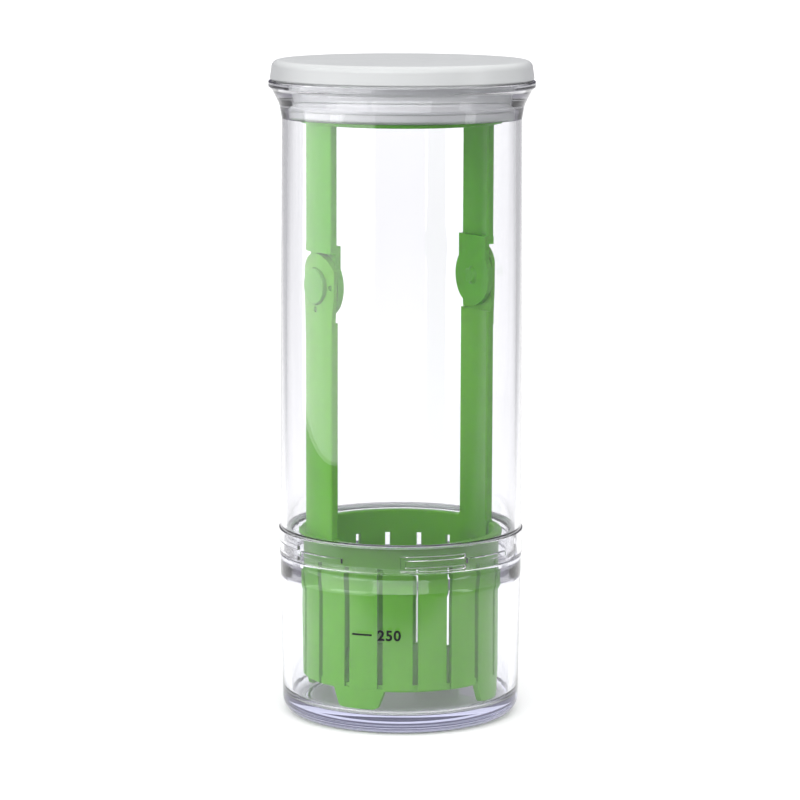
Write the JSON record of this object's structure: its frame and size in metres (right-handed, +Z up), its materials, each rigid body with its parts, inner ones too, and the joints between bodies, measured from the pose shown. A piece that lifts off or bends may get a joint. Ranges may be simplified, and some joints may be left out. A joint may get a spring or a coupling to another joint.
{
  "type": "herb keeper",
  "caption": "Clear upright herb keeper: tube locks on a water jar, lift-out slotted basket with folding ring-topped handle, press-in lid.",
  "frame": {"origin": "centre of the jar's foot ring, on the surface it stands on", "axes": "+Z up along the keeper's axis; the front, where the level dash is, faces -Y; +X to the right seen from the front"},
  "size_m": [0.111, 0.111, 0.2751],
  "materials": {
    "clear_jar": "polished clear moulded plastic",
    "clear_tube": "polished clear moulded plastic",
    "clear_silicone": "translucent silicone",
    "green_basket": "satin moulded plastic, fine mould grain",
    "green_handle": "satin moulded plastic, fine mould grain",
    "green_pin": "satin moulded plastic",
    "white_cap": "semi-gloss off-white moulded plastic",
    "white_plug": "semi-gloss off-white moulded plastic",
    "grey_silicone": "pale grey silicone"
  },
  "bodies": {
    "jar": {"water_jar": "clear_jar"},
    "seal_ring": {"neck_seal": "clear_silicone"},
    "tube": {"upper_tube": "clear_tube"},
    "basket": {"basket": "green_basket"},
    "handle": {"handle": "green_handle", "left_pivot_pin": "green_pin", "right_pivot_pin": "green_pin"},
    "lid": {"lid_cap": "white_cap", "lid_plug": "white_plug", "lid_seal": "grey_silicone"}
  },
  "joints": [
    {"name": "tube_lift", "type": "slide", "parent": "jar", "child": "seal_ring", "axis": [0, 0, 1], "range_m": [0, 0.1]},
    {"name": "tube_twist", "type": "hinge", "parent": "seal_ring", "child": "tube", "pos_m": [0, 0, 0.0787], "axis": [0, 0, 1], "range_deg": [0, 29]},
    {"name": "basket_lift", "type": "slide", "parent": "tube", "child": "basket", "axis": [0, 0, 1], "range_m": [0, 0.27]},
    {"name": "handle_fold", "type": "hinge", "parent": "basket", "child": "handle", "pos_m": [0, 0, 0.1833], "axis": [-0.848, -0.5299, 0], "range_deg": [-4, 4]},
    {"name": "lid_lift", "type": "slide", "parent": "basket", "child": "lid", "axis": [0, 0, 1], "range_m": [0, 0.08]}
  ]
}
